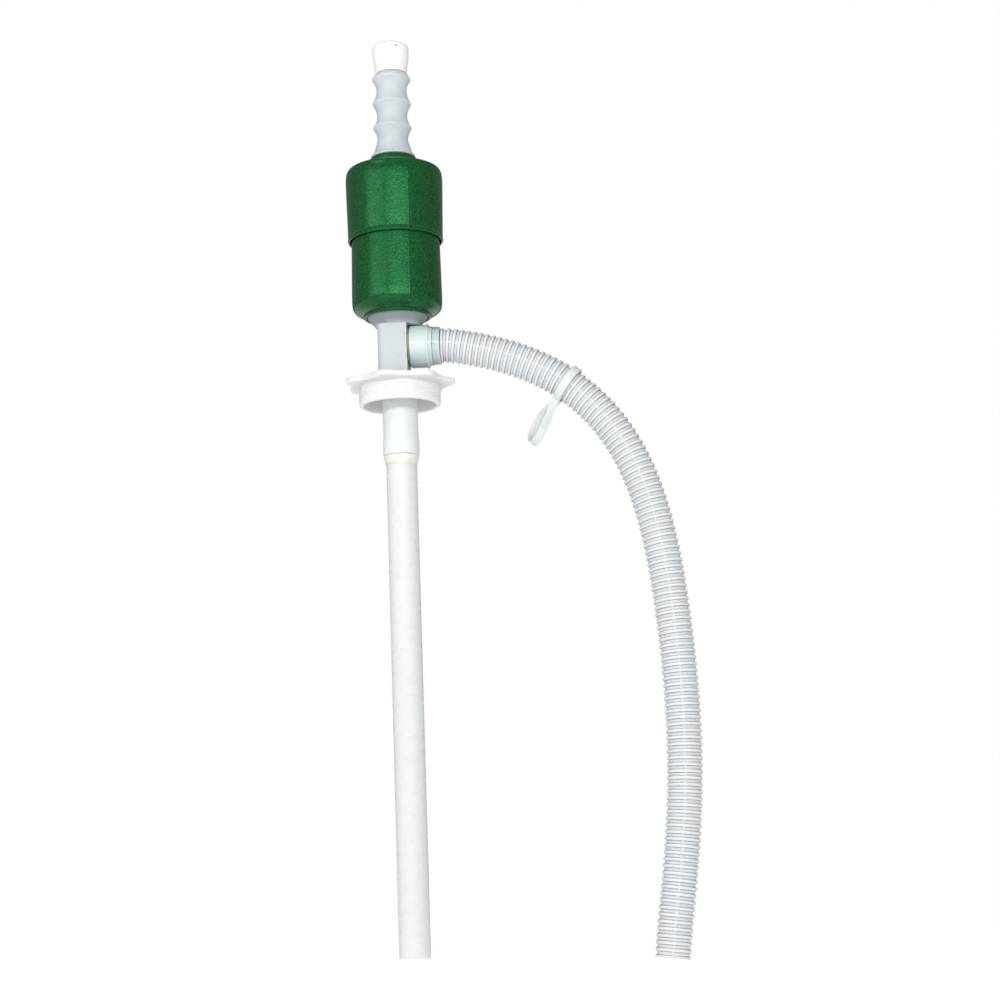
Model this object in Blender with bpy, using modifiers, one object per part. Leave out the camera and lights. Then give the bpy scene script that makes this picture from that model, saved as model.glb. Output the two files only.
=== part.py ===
"""Hand siphon drum pump: a telescoping bulb on a valve body, held in a 2 inch drum bung.

Metres, +Z up. The origin is on the pump's axis, in the plane where the bung adapter's flange
seats on the drum. The side outlet points along +X.
"""
from math import asin, atan2, cos, pi, radians, sin

import bmesh
import bpy
from mathutils import Matrix, Vector

NAME = "siphon_drum_pump"
FIT = 0.0003                    # gap kept between pieces that touch on the real pump
BIG_STEPS = 36                  # sides of the large turned pieces
SMALL_STEPS = 20                # sides of the small turned pieces

# Bung adapter: 2 inch pipe thread, 11.5 threads per inch
THREAD_R = 0.0301
THREAD_DEPTH = 0.0007
THREAD_PITCH = 0.0022
THREAD_RIDGES = 6
SKIRT_LOW = -0.0154
SKIRT_BORE_R = 0.0268
FLANGE_TOP = 0.0036
FLANGE_VALLEY_R = 0.0352
FLANGE_LOBE_R = 0.0410
FLANGE_LOBES = 7
STEM_HOLE_R = 0.0138

# Valve body
STEM_R = 0.01285
SOCKET_R = 0.0134
SOCKET_LOW = -0.0526
SWIVEL_R = 0.0195
SWIVEL_LOW = FLANGE_TOP + FIT
BLOCK_LEFT = -0.0142
FACE_X = 0.0074                 # flat face that carries the outlet
BLOCK_HALF_DEPTH = 0.0160
BLOCK_TOP = 0.0443
NECK_R = 0.0223
NECK_TOP = 0.0620
FUNNEL_LOW = 0.0420
FUNNEL_FLOOR = 0.0482
TUBE_STOP = -0.0240             # shoulder above the suction tube
VALVE_BORE_R = 0.0102

# Suction tube
TUBE_R = 0.0112
TUBE_BORE_R = 0.0097
TUBE_LOW = -0.4140
BOND_LOW = -0.0610              # foot of the adhesive fillet

# Inlet ball valve
BALL_R = 0.0075
BALL_Z = -0.0149
SEAT_BORE_R = 0.0062

# Outlet, in the spout's own frame: s runs along the spout from the flat face
SPOUT_Z = 0.0290
PORT_R = 0.0092
PIN_S = 0.0046
PIN_UP = 0.0096
COLLAR_R = 0.0158
COLLAR_BORE_R = 0.0138
RIM_R = 0.0166
CUFF_R = 0.0141
CUFF_START = 0.0184
CUFF_END = 0.0238

# Discharge hose and its hanger
HOSE_R = 0.01275
HOSE_ROUTE = [                  # centreline, (x, z), from the cuff to the open end
    (0.0315, 0.0290), (0.0560, 0.0251), (0.0795, 0.0183), (0.1021, 0.0086),
    (0.1232, -0.0047), (0.1432, -0.0232), (0.1592, -0.0451), (0.1711, -0.0694),
    (0.1796, -0.0952), (0.1854, -0.1218), (0.1894, -0.1488), (0.1922, -0.1758),
    (0.1943, -0.2029), (0.1956, -0.2300), (0.1961, -0.2572), (0.1956, -0.2844),
    (0.1941, -0.3116), (0.1915, -0.3386), (0.1881, -0.3656), (0.1842, -0.3925),
    (0.1808, -0.4195),
]
HOSE_SAMPLES = 2                # curve points for each stretch of the route
HANGER_POINT = 4                # the hanger sits on this point of the route
HANGER_HALF_WIDTH = 0.0030
HANGER_BAND = 0.0015
LOOP_TIP = 0.0510               # from the hose's centreline to the tip of the hanging loop

# Bulb: the upper cup slides down over the lower cup
UPPER_BORE_R = 0.0340
LOWER_BORE_R = 0.0308
LOWER_TOP = 0.1180
SPIGOT_R = 0.0097

# Grip and vent cap
GRIP_RIDGES = [0.1982, 0.2171, 0.2362]
GRIP_VALLEYS = [0.1883, 0.2075, 0.2279]
GRIP_RIDGE_R = 0.0144
GRIP_VALLEY_R = 0.01150
GRIP_BORE_R = 0.0080
NECK_MOUTH = 0.2606
CAP_LOW = 0.2408
CAP_TOP = 0.2654
CAP_R = 0.0137
VENT_ANGLE = radians(-67)       # the cap's rib faces forward, a little to the right
VENT_Z = 0.2590

# Colours
NATURAL = (0.80, 0.84, 0.84, 1)
WHITE = (0.88, 0.88, 0.89, 1)
GREEN = (0.02, 0.20, 0.06, 1)
STEEL_BLUE = (0.55, 0.65, 0.68, 1)
AMBER = (0.78, 0.74, 0.48, 1)
BLACK = (0.03, 0.03, 0.03, 1)
HOSE_WHITE = (0.80, 0.83, 0.83, 1)


def clear_scene():
    for obj in list(bpy.data.objects):
        bpy.data.objects.remove(obj)


def make_collection(name):
    collection = bpy.data.collections.new(name)
    bpy.context.scene.collection.children.link(collection)
    return collection


def material(name, colour, roughness=0.4, metallic=0.0):
    mat = bpy.data.materials.new(name)
    mat.use_nodes = True
    shader = mat.node_tree.nodes["Principled BSDF"]
    shader.inputs["Base Color"].default_value = colour
    shader.inputs["Roughness"].default_value = roughness
    shader.inputs["Metallic"].default_value = metallic
    return mat


def add_part(name, mesh, colour, roughness=0.4, metallic=0.0):
    """A named sub-part with a material of its own."""
    obj = bpy.data.objects.new(name, mesh)
    obj.data.materials.append(material(name + "_finish", colour, roughness, metallic))
    PARTS.objects.link(obj)
    return obj


def as_cutter(obj):
    """Move a helper solid to the cutters' collection, unseen."""
    for collection in list(obj.users_collection):
        collection.objects.unlink(obj)
    CUTTERS.objects.link(obj)
    obj.hide_render = True
    obj.display_type = "WIRE"
    return obj


def combine(obj, other, operation):
    """Join a helper solid to an object, or cut it away."""
    modifier = obj.modifiers.new(operation.lower() + "_" + other.name, "BOOLEAN")
    modifier.operation = operation
    modifier.object = as_cutter(other)
    return obj


def join(obj, other):
    return combine(obj, other, "UNION")


def cut(obj, other):
    return combine(obj, other, "DIFFERENCE")


# ---------------------------------------------------------------- turned and plain solids

def profile_mesh(name, profile, closed):
    mesh = bpy.data.meshes.new(name)
    verts = [(radius, 0.0, height) for radius, height in profile]
    edges = [(i, i + 1) for i in range(len(verts) - 1)]
    if closed:
        edges.append((len(verts) - 1, 0))
    mesh.from_pydata(verts, edges, [])
    return mesh


def turn(obj, steps):
    """Turn the object's profile about its own Z axis."""
    screw = obj.modifiers.new("turn", "SCREW")
    screw.axis = "Z"
    screw.steps = steps
    screw.render_steps = steps
    screw.use_merge_vertices = True
    screw.merge_threshold = 0.00001
    screw.use_smooth_shade = True
    return obj


def turned(name, profile, colour, roughness=0.4, metallic=0.0, steps=BIG_STEPS, closed=True):
    """A turned piece: (radius, height) down the outer side, then up the inner side."""
    mesh = profile_mesh(name, profile, closed)
    return turn(add_part(name, mesh, colour, roughness, metallic), steps)


def turned_helper(name, profile, steps=BIG_STEPS, closed=False):
    obj = bpy.data.objects.new(name, profile_mesh(name, profile, closed))
    CUTTERS.objects.link(obj)
    return turn(as_cutter(obj), steps)


def ring(name, bore_r, outer_r, low, high, colour, roughness=0.4, metallic=0.0,
         steps=SMALL_STEPS):
    """A plain ring with a small chamfer on its outer edges."""
    chamfer = min(0.0003, (high - low) / 4)
    profile = [
        (outer_r - chamfer, high), (outer_r, high - chamfer),
        (outer_r, low + chamfer), (outer_r - chamfer, low),
        (bore_r, low), (bore_r, high),
    ]
    return turned(name, profile, colour, roughness, metallic, steps)


def helper_from_bmesh(name, bm):
    mesh = bpy.data.meshes.new(name)
    bm.to_mesh(mesh)
    bm.free()
    obj = bpy.data.objects.new(name, mesh)
    CUTTERS.objects.link(obj)
    return as_cutter(obj)


def box(name, low, high):
    """A helper box between two corners."""
    centre = (Vector(low) + Vector(high)) / 2
    size = Vector(high) - Vector(low)
    bm = bmesh.new()
    place = Matrix.Translation(centre) @ Matrix.Diagonal((*size, 1.0))
    bmesh.ops.create_cube(bm, size=1.0, matrix=place)
    return helper_from_bmesh(name, bm)


AXIS_TURN = {
    "X": Matrix.Rotation(pi / 2, 4, "Y"),
    "Y": Matrix.Rotation(-pi / 2, 4, "X"),
    "Z": Matrix.Identity(4),
}


def rod_mesh(name, radius, length, centre, axis, sides):
    bm = bmesh.new()
    place = Matrix.Translation(centre) @ AXIS_TURN[axis]
    bmesh.ops.create_cone(bm, cap_ends=True, segments=sides, radius1=radius,
                          radius2=radius, depth=length, matrix=place)
    mesh = bpy.data.meshes.new(name)
    bm.to_mesh(mesh)
    bm.free()
    return mesh


def rod(name, radius, length, centre, axis, sides=SMALL_STEPS):
    """A helper cylinder."""
    obj = bpy.data.objects.new(name, rod_mesh(name, radius, length, centre, axis, sides))
    CUTTERS.objects.link(obj)
    return as_cutter(obj)


def shade(obj, angle=radians(35)):
    obj.data.shade_smooth()
    obj.data.set_sharp_from_angle(angle=angle)


# ---------------------------------------------------------------- flat outlines

def outline_mesh(name, loops, thickness):
    """A flat plate from closed outlines in XY: the first is the edge, the rest are holes."""
    curve = bpy.data.curves.new(name, "CURVE")
    curve.dimensions = "2D"
    curve.fill_mode = "BOTH"
    curve.extrude = thickness / 2
    for loop in loops:
        spline = curve.splines.new("POLY")
        spline.points.add(len(loop) - 1)
        for point, (x, y) in zip(spline.points, loop):
            point.co = (x, y, 0.0, 1.0)
        spline.use_cyclic_u = True
    obj = bpy.data.objects.new(name + "_curve", curve)
    CUTTERS.objects.link(obj)
    bpy.context.view_layer.update()
    evaluated = obj.evaluated_get(bpy.context.evaluated_depsgraph_get())
    mesh = bpy.data.meshes.new_from_object(evaluated)
    bpy.data.objects.remove(obj)
    bm = bmesh.new()
    bm.from_mesh(mesh)
    bmesh.ops.remove_doubles(bm, verts=bm.verts, dist=0.00001)
    bm.to_mesh(mesh)
    bm.free()
    return mesh


def circle(radius, sides):
    return [(radius * cos(2 * pi * i / sides), radius * sin(2 * pi * i / sides))
            for i in range(sides)]


def lobed_outline(valley_r, lobe_r, lobes, points_per_lobe=10):
    """A star outline with round lobes, the first lobe pointing along +X."""
    count = lobes * points_per_lobe
    loop = []
    for i in range(count):
        angle = 2 * pi * i / count
        swell = (0.5 + 0.5 * cos(lobes * angle)) ** 1.5
        radius = valley_r + (lobe_r - valley_r) * swell
        loop.append((radius * cos(angle), radius * sin(angle)))
    return loop


# ---------------------------------------------------------------- bung adapter

def bung_adapter():
    """Threaded skirt, open underneath, with a lobed flange and a hole for the stem."""
    thread = []
    for i in range(THREAD_RIDGES):
        crest = -0.0012 - i * THREAD_PITCH
        thread += [(THREAD_R, crest), (THREAD_R, crest - 0.0008),
                   (THREAD_R - THREAD_DEPTH, crest - 0.0013)]
    shoulder_r = THREAD_R + 0.0001
    skirt = [
        (shoulder_r, FLANGE_TOP / 2), (shoulder_r, -0.0008),
        *thread,
        (THREAD_R - THREAD_DEPTH, SKIRT_LOW + 0.0010), (THREAD_R - 0.0022, SKIRT_LOW),
        (SKIRT_BORE_R, SKIRT_LOW), (SKIRT_BORE_R, FLANGE_TOP / 2),
    ]
    edge = lobed_outline(FLANGE_VALLEY_R, FLANGE_LOBE_R, FLANGE_LOBES)
    mesh = outline_mesh("bung_adapter", [edge, circle(STEM_HOLE_R, BIG_STEPS)], FLANGE_TOP)
    mesh.transform(Matrix.Translation((0, 0, FLANGE_TOP / 2)))
    adapter = add_part("bung_adapter", mesh, WHITE)
    join(adapter, turned_helper("skirt", skirt, closed=True))
    shade(adapter)
    return adapter


# ---------------------------------------------------------------- valve body and inlet

def rounded_block():
    """The body's block: flat faces with round corners, from the swivel flange to the funnel."""
    bm = bmesh.new()
    low = Vector((BLOCK_LEFT, -BLOCK_HALF_DEPTH, SWIVEL_LOW + 0.0010))
    high = Vector((FACE_X, BLOCK_HALF_DEPTH, BLOCK_TOP))
    size = high - low
    place = Matrix.Translation((low + high) / 2) @ Matrix.Diagonal((*size, 1.0))
    bmesh.ops.create_cube(bm, size=1.0, matrix=place)
    uprights = [edge for edge in bm.edges
                if abs(edge.verts[0].co.z - edge.verts[1].co.z) > size.z / 2
                and edge.verts[0].co.x < 0]
    bmesh.ops.bevel(bm, geom=uprights, offset=0.0050, segments=4, profile=0.5,
                    affect="EDGES")
    return helper_from_bmesh("block", bm)


def valve_body():
    """Funnel neck, flat-sided block, swivel flange and tube socket in one moulding."""
    outside = [
        (0.0, NECK_TOP), (NECK_R, NECK_TOP), (NECK_R, 0.0514),
        (-BLOCK_LEFT, FUNNEL_LOW), (0.0, FUNNEL_LOW),
    ]
    stem = [
        (0.0, SWIVEL_LOW + 0.0020), (SWIVEL_R, SWIVEL_LOW + 0.0020), (SWIVEL_R, SWIVEL_LOW),
        (STEM_R, SWIVEL_LOW), (STEM_R, -0.0380), (SOCKET_R, -0.0420), (SOCKET_R, -0.0495),
        (SOCKET_R - 0.0004, SOCKET_LOW), (0.0, SOCKET_LOW),
    ]
    socket_bore = [
        (0.0, 0.0022), (VALVE_BORE_R, 0.0022), (VALVE_BORE_R, TUBE_STOP),
        (TUBE_R + FIT, TUBE_STOP), (TUBE_R + FIT, SOCKET_LOW - 0.0050),
        (0.0, SOCKET_LOW - 0.0050),
    ]
    funnel_bore = [
        (0.0, NECK_TOP + 0.0050), (NECK_R - 0.0020, NECK_TOP + 0.0050),
        (NECK_R - 0.0020, 0.0528), (0.0140, FUNNEL_FLOOR), (0.0, FUNNEL_FLOOR),
    ]
    body = turned("valve_body", outside, NATURAL, 0.45, closed=False)
    beside_face = box("beside_face", (FACE_X, -0.0300, 0.0300), (0.0300, 0.0300, BLOCK_TOP))
    cut(body, beside_face)
    join(body, rounded_block())
    join(body, turned_helper("stem", stem))
    cut(body, turned_helper("socket_bore", socket_bore, steps=SMALL_STEPS))
    cut(body, turned_helper("funnel_bore", funnel_bore))
    cut(body, box("chamber", (BLOCK_LEFT + 0.0022, -0.0126, 0.0085), (0.0052, 0.0126, 0.0420)))
    cut(body, box("inlet_riser", (-0.0075, -0.0070, 0.0), (0.0038, 0.0070, 0.0100)))
    cut(body, box("bulb_riser", (-0.0100, -0.0090, 0.0400), (0.0042, 0.0090, 0.0500)))
    cut(body, on_spout(rod("port", PORT_R, 0.0100, (0.0, 0.0, 0.0), "X")))
    collar_room = rod("collar_room", COLLAR_R + 0.0004, 0.0200, (0.0110, 0.0, 0.0), "X", 40)
    cut(body, on_spout(collar_room))


def inlet_valve():
    """Seat, ball and guide cage in the stem's bore, above the suction tube."""
    seat_low = TUBE_STOP + FIT
    seat_top = -0.0195
    outer_r = VALVE_BORE_R - FIT
    ring("inlet_valve_seat", SEAT_BORE_R, outer_r, seat_low, seat_top, WHITE, 0.35)
    cage = ring("inlet_ball_cage", 0.0083, outer_r, seat_top + FIT, 0.0010, WHITE, 0.35)
    for axis in ("X", "Y"):
        bar = rod("cage_bar_" + axis.lower(), 0.0011, 0.0176, (0, 0, -0.0009), axis, 12)
        join(cage, bar)
    bm = bmesh.new()
    bmesh.ops.create_uvsphere(bm, u_segments=20, v_segments=12, radius=BALL_R)
    mesh = bpy.data.meshes.new("inlet_ball")
    bm.to_mesh(mesh)
    bm.free()
    ball = add_part("inlet_ball", mesh, WHITE, 0.25)
    ball.location = (0.0, 0.0, BALL_Z)
    shade(ball)


def suction_tube():
    """Tube pushed up into the socket, with a fillet of adhesive under the joint."""
    profile = [(TUBE_R, TUBE_STOP - FIT), (TUBE_R, TUBE_LOW),
               (TUBE_BORE_R, TUBE_LOW), (TUBE_BORE_R, TUBE_STOP - FIT)]
    turned("suction_tube", profile, NATURAL, 0.35, steps=32)
    top = SOCKET_LOW - FIT
    fillet = [
        (SOCKET_R - 0.0002, top), (0.0124, -0.0565), (TUBE_R + 0.0005, BOND_LOW),
        (TUBE_R + FIT, BOND_LOW), (TUBE_R + FIT, top),
    ]
    turned("tube_bond_ring", fillet, AMBER, 0.5, steps=SMALL_STEPS)


def swivel_retainer():
    """Push-on ring on the stem, under the adapter's web."""
    ring("swivel_retainer", STEM_R + FIT, 0.0175, -0.0026, -FIT, WHITE)


# ---------------------------------------------------------------- outlet

def on_spout(obj, location=(0.0, 0.0, 0.0), about_spout=False):
    """Hang a piece on the spout's frame: X along the spout, Z upwards."""
    obj.parent = SPOUT
    obj.location = location
    if about_spout:
        obj.rotation_euler = (0.0, pi / 2, 0.0)
    return obj


def outlet_valve_seat():
    """Flanged bush through the body's port, with two ears for the flap's pin."""
    profile = [
        (0.0123, 0.0047), (0.0125, 0.0045), (0.0125, 0.0029), (PORT_R - FIT, 0.0029),
        (PORT_R - FIT, -0.0020), (0.0068, -0.0020), (0.0068, 0.0047),
    ]
    seat = on_spout(turned("outlet_valve_seat", profile, WHITE, 0.35), about_spout=True)
    for side in (-1, 1):
        inner, outer = sorted((side * 0.0053, side * 0.0069))
        ear = box("ear", (0.0031, inner, 0.0070), (0.0062, outer, 0.0112))
        join(seat, on_spout(ear))
    cut(seat, on_spout(box("flap_notch", (0.0020, -0.0052, 0.0076), (0.0080, 0.0052, 0.0150))))
    cut(seat, on_spout(rod("ear_holes", 0.0012, 0.0200, (PIN_S, 0.0, PIN_UP), "Y", 16)))


def outlet_flap():
    """Round flap that hangs closed on the seat; its origin is the pin."""
    disc = rod_mesh("outlet_flap", 0.0092, 0.0014, (0.0012, 0.0, -0.0104), "X", SMALL_STEPS)
    flap = on_spout(add_part("outlet_flap", disc, WHITE, 0.35), (PIN_S, 0.0, PIN_UP))
    neck = box("flap_neck", (0.0005, -0.0040, -0.0060), (0.0015, 0.0040, 0.0))
    join(flap, on_spout(neck, (PIN_S, 0.0, PIN_UP)))
    barrel = rod("flap_barrel", 0.0017, 0.0098, (0.0, 0.0, 0.0), "Y", 16)
    join(flap, on_spout(barrel, (PIN_S, 0.0, PIN_UP)))
    hole = rod("flap_hole", 0.0012, 0.0200, (0.0, 0.0, 0.0), "Y", 16)
    cut(flap, on_spout(hole, (PIN_S, 0.0, PIN_UP)))
    pin_mesh = rod_mesh("outlet_flap_pin", 0.0009, 0.0134, (0.0, 0.0, 0.0), "Y", 12)
    on_spout(add_part("outlet_flap_pin", pin_mesh, STEEL_BLUE, 0.3, 1.0), (PIN_S, 0.0, PIN_UP))


def outlet_collar():
    """Drum-shaped collar over the flap, with a rim and a short neck at its outer end."""
    profile = [
        (0.0143, 0.0181), (0.0146, 0.0178), (0.0146, 0.0153), (RIM_R - 0.0003, 0.0153),
        (RIM_R, 0.0150), (RIM_R, 0.0141), (COLLAR_R, 0.0137), (COLLAR_R, 0.0026),
        (COLLAR_R - 0.0005, 0.0016), (PORT_R, 0.0016), (PORT_R, 0.0026),
        (COLLAR_BORE_R, 0.0026), (COLLAR_BORE_R, 0.0150), (0.0125, 0.0150), (0.0125, 0.0181),
    ]
    on_spout(turned("outlet_collar", profile, NATURAL, 0.3), about_spout=True)
    gasket = ring("spout_gasket", PORT_R + 0.0001, 0.0142, FIT, 0.0013, AMBER, 0.6)
    on_spout(gasket, about_spout=True)
    cuff = ring("hose_cuff", HOSE_R + FIT, CUFF_R, CUFF_START, CUFF_END, STEEL_BLUE, 0.25,
                steps=BIG_STEPS)
    on_spout(cuff, about_spout=True)


# ---------------------------------------------------------------- hose and hanger

def hose_points():
    """A smooth curve through the route, leaving the cuff along the spout."""
    route = [Vector((x, 0.0, z)) for x, z in HOSE_ROUTE]
    first = (route[1] - route[0]).length
    before = route[1] - Vector((2 * first, 0.0, 0.0))
    after = 2 * route[-1] - route[-2]
    knots = [before, *route, after]
    points = []
    for a, b, c, d in zip(knots, knots[1:], knots[2:], knots[3:]):
        for i in range(HOSE_SAMPLES):
            t = i / HOSE_SAMPLES
            points.append(0.5 * (2 * b + (c - a) * t + (2 * a - 5 * b + 4 * c - d) * t ** 2
                                 + (3 * b - a - 3 * c + d) * t ** 3))
    points.append(route[-1])
    return points


def discharge_hose():
    """Plain tube of the corrugated hose's outer size."""
    curve = bpy.data.curves.new("discharge_hose", "CURVE")
    curve.dimensions = "3D"
    curve.bevel_depth = HOSE_R
    curve.bevel_resolution = 3
    curve.use_fill_caps = True
    points = hose_points()
    spline = curve.splines.new("POLY")
    spline.points.add(len(points) - 1)
    for point, place in zip(spline.points, points):
        point.co = (*place, 1.0)
    add_part("discharge_hose", curve, HOSE_WHITE)


def arc(centre, radius, start, end, count):
    """Points along an arc, angles in radians."""
    return [(centre[0] + radius * cos(start + (end - start) * i / count),
             centre[1] + radius * sin(start + (end - start) * i / count))
            for i in range(count + 1)]


def strap_edge(band_r, waist, tip_r, tip_y):
    """Half of the strap's outline, drawn down from the band's top to the loop's tip."""
    lean = asin((tip_r - waist) / (tip_y - band_r))
    side = arc((0.0, 0.0), band_r, pi / 2, atan2(-band_r, waist), 14)
    return side + arc((0.0, -tip_y), tip_r, lean, -pi / 2, 8)


def mirrored(half):
    """Close a half outline, drawn on the right from top to bottom, about x = 0."""
    return half + [(-x, y) for x, y in reversed(half[1:-1])]


def hose_hanger():
    """Strap round the hose, pinched under it, with a teardrop loop to hang the hose by.

    The outline is drawn across the hose: Y runs along the hanging loop, away from the tip.
    """
    inner_r = HOSE_R + FIT
    outer_r = inner_r + HANGER_BAND
    tip_r = 0.0105
    outside = mirrored(strap_edge(outer_r, 0.0034, tip_r, LOOP_TIP - tip_r))
    loop_top = -(outer_r + 0.0030)
    loop_hole = mirrored([(0.0, loop_top)] + arc((0.0, tip_r - LOOP_TIP), tip_r - HANGER_BAND,
                                                 radians(12), -pi / 2, 8))
    mesh = outline_mesh("hose_hanger", [outside, circle(inner_r, BIG_STEPS), loop_hole],
                        2 * HANGER_HALF_WIDTH)
    hanger = add_part("hose_hanger", mesh, WHITE, 0.35)
    ahead = Vector((*HOSE_ROUTE[HANGER_POINT + 1], 0.0))
    behind = Vector((*HOSE_ROUTE[HANGER_POINT - 1], 0.0))
    run = ahead - behind
    along = Vector((run.x, 0.0, run.y)).normalized()
    up = Vector((-along.z, 0.0, along.x))
    across = up.cross(along)
    hanger.matrix_world = Matrix.Translation(
        (HOSE_ROUTE[HANGER_POINT][0], 0.0, HOSE_ROUTE[HANGER_POINT][1])
    ) @ Matrix((across, up, along)).transposed().to_4x4()
    shade(hanger)


# ---------------------------------------------------------------- bulb

def lower_cup():
    profile = [
        (0.0326, LOWER_TOP), (0.0328, 0.1095), (0.0334, 0.0660), (0.0333, 0.0606),
        (0.0324, 0.0574), (0.0302, 0.0551), (0.0264, 0.0535), (0.0252, 0.0530),
        (0.0250, 0.0516), (0.0241, 0.0509), (0.0229, 0.0512), (0.0229, 0.0550),
        (0.0266, 0.0560), (0.0294, 0.0578), (0.0308, 0.0612), (LOWER_BORE_R, LOWER_TOP),
    ]
    turned("lower_cup", profile, GREEN, 0.4)
    ring("cup_clamp_ring", NECK_R + FIT, 0.0264, 0.0564, 0.0608, WHITE)


def piston():
    """Sleeve in the lower cup's mouth, holding the seal that wipes the upper cup."""
    core_r = LOWER_BORE_R - FIT
    carrier = [
        (0.0326, 0.1240), (0.0330, 0.1236), (0.0330, 0.1228), (core_r, 0.1226),
        (core_r, 0.1080), (0.0284, 0.1080), (0.0284, 0.1240),
    ]
    turned("piston_carrier", carrier, WHITE, 0.35)
    ring("piston_seal", core_r + FIT, UPPER_BORE_R - FIT, LOWER_TOP + FIT, 0.1223, BLACK, 0.8,
         steps=BIG_STEPS)


def upper_cup():
    """Outer cup: collar, groove, sloping shoulder, slightly waisted skirt with a bead."""
    profile = [
        (0.0156, 0.1745), (0.0172, 0.1741), (0.0186, 0.1716), (0.0190, 0.1703),
        (0.0186, 0.1696), (0.0198, 0.1689), (0.0322, 0.1654), (0.0343, 0.1642),
        (0.0355, 0.1620), (0.0361, 0.1580), (0.0361, 0.1540), (0.0351, 0.1118),
        (0.0354, 0.1110), (0.0354, 0.1100), (0.0351, 0.1094), (UPPER_BORE_R, 0.1094),
        (UPPER_BORE_R, 0.1590), (0.0322, 0.1624), (0.0180, 0.1668), (0.0102, 0.1668),
        (0.0102, 0.1745),
    ]
    turned("upper_cup", profile, GREEN, 0.4)


# ---------------------------------------------------------------- grip and vent cap

def grip_side():
    """The grip's outer side from the cap down: sharp ridges with hollows between them."""
    heights = sorted(GRIP_RIDGES + GRIP_VALLEYS, reverse=True)
    side = []
    for upper, lower in zip(heights, heights[1:]):
        from_ridge = upper in GRIP_RIDGES
        for i in range(3):
            t = i / 3
            fall = sin(t * pi / 2) if from_ridge else 1 - cos(t * pi / 2)
            start_r = GRIP_RIDGE_R if from_ridge else GRIP_VALLEY_R
            end_r = GRIP_VALLEY_R if from_ridge else GRIP_RIDGE_R
            side.append((start_r + (end_r - start_r) * fall, upper + (lower - upper) * t))
    return side


def grip_handle():
    """Hollow grip with a screw mouth above and a spigot through the cup's top below."""
    profile = [
        (0.0096, NECK_MOUTH), (0.0096, 0.2404), (0.0119, 0.2402), (0.0134, 0.2384),
        *grip_side(),
        (GRIP_VALLEY_R, GRIP_VALLEYS[0]), (0.0127, 0.1844), (0.0138, 0.1800),
        (0.0152, 0.1775), (0.0165, 0.1762), (0.0165, 0.1748), (SPIGOT_R, 0.1748),
        (SPIGOT_R, 0.1562), (GRIP_BORE_R, 0.1562), (GRIP_BORE_R, NECK_MOUTH),
    ]
    turned("grip_handle", profile, NATURAL, 0.35, steps=32)
    ring("handle_gasket", SPIGOT_R + FIT, 0.0170, 0.1652, 0.1665, BLACK, 0.8)
    ring("handle_nut", SPIGOT_R + FIT, 0.0168, 0.1587, 0.1649, WHITE)


def vent_cap():
    """Hollow screw cap, domed, with a rib and a vent hole near the top of its front."""
    profile = [
        (0.0, CAP_TOP), (0.0060, CAP_TOP - 0.0003), (0.0106, CAP_TOP - 0.0016),
        (0.0130, CAP_TOP - 0.0034), (CAP_R, 0.2598), (CAP_R, 0.2545), (0.0131, 0.2510),
        (0.0124, 0.2470), (0.0121, 0.2430), (0.0119, CAP_LOW), (0.0105, CAP_LOW),
        (0.0105, 0.2598), (0.0088, 0.2628), (0.0, 0.2630),
    ]
    cap = turned("vent_cap", profile, WHITE, 0.35, steps=32, closed=False)
    turn_forward = Matrix.Rotation(VENT_ANGLE, 4, "Z")
    rib = box("vent_rib", (0.0110, -0.0026, 0.2480), (0.0141, 0.0026, 0.2618))
    rib.data.transform(turn_forward)
    join(cap, rib)
    hole = rod("vent_hole", 0.0009, 0.0100, (0.0125, 0.0, VENT_Z), "X", 10)
    hole.data.transform(turn_forward)
    cut(cap, hole)
    ring("vent_seal", 0.0030, 0.0086, NECK_MOUTH + FIT, 0.2624, BLACK, 0.8)


clear_scene()
PARTS = make_collection(NAME)
CUTTERS = make_collection("cutters")
SPOUT = bpy.data.objects.new("spout_frame", None)
SPOUT.location = (FACE_X, 0.0, SPOUT_Z)
PARTS.objects.link(SPOUT)

bung_adapter()
valve_body()
swivel_retainer()
suction_tube()
inlet_valve()
outlet_valve_seat()
outlet_flap()
outlet_collar()
discharge_hose()
hose_hanger()
lower_cup()
piston()
upper_cup()
grip_handle()
vent_cap()
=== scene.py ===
"""Looks of the hand siphon drum pump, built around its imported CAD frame.

Metres, +Z up. The origin is on the pump's axis, where the bung adapter's flange seats on the
drum, and the side outlet points along +X.
"""

from math import asin, atan2, cos, pi, radians, sin

import bmesh
import bpy
import numpy as np
from mathutils import Matrix, Quaternion, Vector


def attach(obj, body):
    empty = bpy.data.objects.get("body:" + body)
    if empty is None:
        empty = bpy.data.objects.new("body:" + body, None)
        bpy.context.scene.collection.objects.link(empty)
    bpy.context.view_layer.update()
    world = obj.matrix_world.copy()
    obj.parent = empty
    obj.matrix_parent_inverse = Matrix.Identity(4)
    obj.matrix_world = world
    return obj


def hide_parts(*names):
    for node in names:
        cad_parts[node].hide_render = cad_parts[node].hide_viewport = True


# Camera
CAMERA_PLACE = (0.1607, -1.7127, -0.4063)
CAMERA_LENS = 86.4              # millimetres, on a 36 mm sensor
CAMERA_PITCH = radians(10.5)
CAMERA_TURN = radians(3.0)      # the camera stands this far to the right of straight in front
CAMERA_ROLL = radians(2.0)

# Bung adapter
THREAD_CREST_R = 0.0301
THREAD_ROOT_R = 0.0297
THREAD_PITCH = 0.0022
SHOULDER_R = 0.0302
SKIRT_LOW = -0.0154
SKIRT_BORE_R = 0.0268
FLANGE_TOP = 0.0036
FLANGE_VALLEY_R = 0.0352
FLANGE_LOBE_R = 0.0410
FLANGE_LOBES = 7
STEM_HOLE_R = 0.0138

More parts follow.
